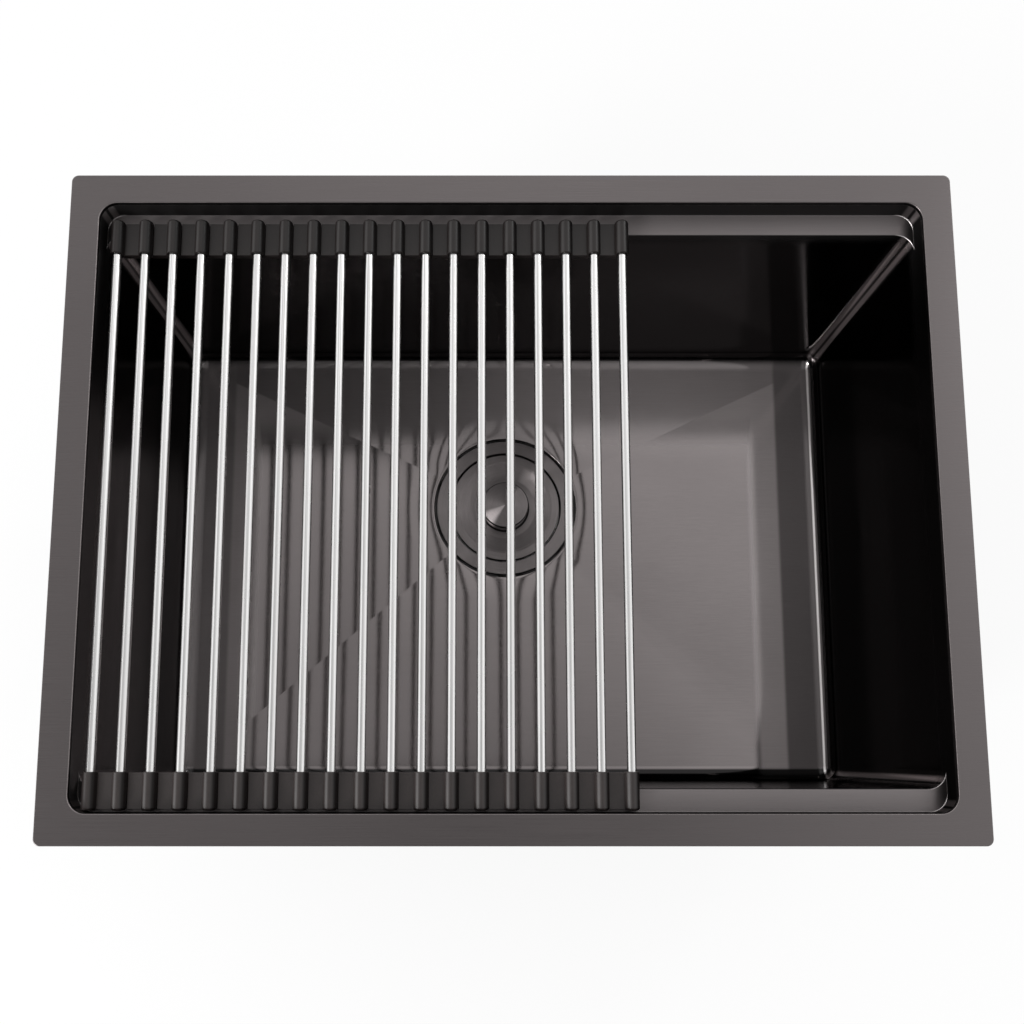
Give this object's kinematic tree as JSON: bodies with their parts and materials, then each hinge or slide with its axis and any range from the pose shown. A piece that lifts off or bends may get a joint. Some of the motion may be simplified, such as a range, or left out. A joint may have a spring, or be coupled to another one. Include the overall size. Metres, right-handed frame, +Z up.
{
  "type": "workstation kitchen sink",
  "caption": "Single-bowl undermount workstation sink with two stepped ledges, a roll-up drying rack of steel rods and a lift-out basket waste",
  "frame": {"origin": "centre of the rim's top plane, the face that meets the worktop", "axes": "+X to the right along the sink's length, +Y to the back, +Z up"},
  "size_m": [0.6, 0.45, 0.293],
  "materials": {
    "gunmetal_sheet": "brushed gunmetal coating over stainless sheet",
    "damping_pad": "matte",
    "gunmetal_strainer": "turned gunmetal coating",
    "stainless_basket": "bright stainless",
    "seal_rubber": "matte",
    "fibre_ring": "pressed fibre",
    "nut_plastic": "moulded",
    "silicone": "matte silicone",
    "rod_steel": "satin stainless"
  },
  "bodies": {
    "sink": {"bottom_pan": "gunmetal_sheet", "wall_front": "gunmetal_sheet", "wall_back": "gunmetal_sheet", "wall_left": "gunmetal_sheet", "wall_right": "gunmetal_sheet", "rim_flange": "gunmetal_sheet", "sound_pads_floor": "damping_pad", "sound_pads_ends": "damping_pad", "sound_pads_sides": "damping_pad", "strainer_body": "gunmetal_strainer", "flange_gasket": "seal_rubber", "sealing_washer": "seal_rubber", "slip_ring": "fibre_ring", "locknut": "nut_plastic"},
    "basket": {"basket_cup": "stainless_basket", "basket_post": "stainless_basket", "stopper_seal": "seal_rubber", "stopper_spacer": "stainless_basket"},
    "cover": {"cover_plate": "gunmetal_strainer", "cover_knob": "gunmetal_strainer", "cover_screw": "stainless_basket"},
    "rack_base": {"rack_strips_base": "silicone", "rack_rod_17": "rod_steel", "rack_rod_18": "rod_steel", "rack_rod_19": "rod_steel"},
    "link_16": {"rack_strips_16": "silicone", "rack_rod_16": "rod_steel"},
    "link_15": {"rack_strips_15": "silicone", "rack_rod_15": "rod_steel"},
    "link_14": {"rack_strips_14": "silicone", "rack_rod_14": "rod_steel"},
    "link_13": {"rack_strips_13": "silicone", "rack_rod_13": "rod_steel"},
    "link_12": {"rack_strips_12": "silicone", "rack_rod_12": "rod_steel"},
    "link_11": {"rack_strips_11": "silicone", "rack_rod_11": "rod_steel"},
    "link_10": {"rack_strips_10": "silicone", "rack_rod_10": "rod_steel"},
    "link_09": {"rack_strips_09": "silicone", "rack_rod_09": "rod_steel"},
    "link_08": {"rack_strips_08": "silicone", "rack_rod_08": "rod_steel"},
    "link_07": {"rack_strips_07": "silicone", "rack_rod_07": "rod_steel"},
    "link_06": {"rack_strips_06": "silicone", "rack_rod_06": "rod_steel"},
    "link_05": {"rack_strips_05": "silicone", "rack_rod_05": "rod_steel"},
    "link_04": {"rack_strips_04": "silicone", "rack_rod_04": "rod_steel"},
    "link_03": {"rack_strips_03": "silicone", "rack_rod_03": "rod_steel"},
    "link_end": {"rack_strips_end": "silicone", "rack_rod_02": "rod_steel", "rack_rod_01": "rod_steel"}
  },
  "joints": [
    {"name": "basket_lift", "type": "slide", "parent": "sink", "child": "basket", "axis": [0, 0, 1], "range_m": [0, 0.07]},
    {"name": "cover_lift", "type": "slide", "parent": "basket", "child": "cover", "axis": [0, 0, 1], "range_m": [0, 0.06]},
    {"name": "rack_slide", "type": "slide", "parent": "sink", "child": "rack_base", "axis": [1, 0, 0], "range_m": [0, 0.19]},
    {"name": "rack_roll", "type": "hinge", "parent": "rack_base", "child": "link_16", "pos_m": [0.0185, 0, -0.00965], "axis": [0, 1, 0], "range_deg": [0, 24]},
    {"name": "rack_roll_15", "type": "hinge", "parent": "link_16", "child": "link_15", "pos_m": [-0.00075, 0, -0.00965], "axis": [0, 1, 0], "range_deg": [0, 25.01]},
    {"name": "rack_roll_14", "type": "hinge", "parent": "link_15", "child": "link_14", "pos_m": [-0.02, 0, -0.00965], "axis": [0, 1, 0], "range_deg": [0, 26.01]},
    {"name": "rack_roll_13", "type": "hinge", "parent": "link_14", "child": "link_13", "pos_m": [-0.03925, 0, -0.00965], "axis": [0, 1, 0], "range_deg": [0, 27.01]},
    {"name": "rack_roll_12", "type": "hinge", "parent": "link_13", "child": "link_12", "pos_m": [-0.0585, 0, -0.00965], "axis": [0, 1, 0], "range_deg": [0, 28.01]},
    {"name": "rack_roll_11", "type": "hinge", "parent": "link_12", "child": "link_11", "pos_m": [-0.07775, 0, -0.00965], "axis": [0, 1, 0], "range_deg": [0, 29.01]},
    {"name": "rack_roll_10", "type": "hinge", "parent": "link_11", "child": "link_10", "pos_m": [-0.097, 0, -0.00965], "axis": [0, 1, 0], "range_deg": [0, 30.01]},
    {"name": "rack_roll_09", "type": "hinge", "parent": "link_10", "child": "link_09", "pos_m": [-0.11625, 0, -0.00965], "axis": [0, 1, 0], "range_deg": [0, 31.01]},
    {"name": "rack_roll_08", "type": "hinge", "parent": "link_09", "child": "link_08", "pos_m": [-0.1355, 0, -0.00965], "axis": [0, 1, 0], "range_deg": [0, 32.01]},
    {"name": "rack_roll_07", "type": "hinge", "parent": "link_08", "child": "link_07", "pos_m": [-0.15475, 0, -0.00965], "axis": [0, 1, 0], "range_deg": [0, 33.01]},
    {"name": "rack_roll_06", "type": "hinge", "parent": "link_07", "child": "link_06", "pos_m": [-0.174, 0, -0.00965], "axis": [0, 1, 0], "range_deg": [0, 34.01]},
    {"name": "rack_roll_05", "type": "hinge", "parent": "link_06", "child": "link_05", "pos_m": [-0.19325, 0, -0.00965], "axis": [0, 1, 0], "range_deg": [0, 35.01]},
    {"name": "rack_roll_04", "type": "hinge", "parent": "link_05", "child": "link_04", "pos_m": [-0.2125, 0, -0.00965], "axis": [0, 1, 0], "range_deg": [0, 36.01]},
    {"name": "rack_roll_03", "type": "hinge", "parent": "link_04", "child": "link_03", "pos_m": [-0.23175, 0, -0.00965], "axis": [0, 1, 0], "range_deg": [0, 37.01]},
    {"name": "rack_roll_02", "type": "hinge", "parent": "link_03", "child": "link_end", "pos_m": [-0.251, 0, -0.00965], "axis": [0, 1, 0], "range_deg": [0, 38.01]}
  ],
  "couplings": [
    {"joint": "rack_roll_15", "follows": "rack_roll", "ratio": 1.0417},
    {"joint": "rack_roll_14", "follows": "rack_roll", "ratio": 1.0833},
    {"joint": "rack_roll_13", "follows": "rack_roll", "ratio": 1.125},
    {"joint": "rack_roll_12", "follows": "rack_roll", "ratio": 1.1667},
    {"joint": "rack_roll_11", "follows": "rack_roll", "ratio": 1.2083},
    {"joint": "rack_roll_10", "follows": "rack_roll", "ratio": 1.25},
    {"joint": "rack_roll_09", "follows": "rack_roll", "ratio": 1.2917},
    {"joint": "rack_roll_08", "follows": "rack_roll", "ratio": 1.3333},
    {"joint": "rack_roll_07", "follows": "rack_roll", "ratio": 1.375},
    {"joint": "rack_roll_06", "follows": "rack_roll", "ratio": 1.4167},
    {"joint": "rack_roll_05", "follows": "rack_roll", "ratio": 1.4583},
    {"joint": "rack_roll_04", "follows": "rack_roll", "ratio": 1.5},
    {"joint": "rack_roll_03", "follows": "rack_roll", "ratio": 1.5417},
    {"joint": "rack_roll_02", "follows": "rack_roll", "ratio": 1.5833}
  ]
}
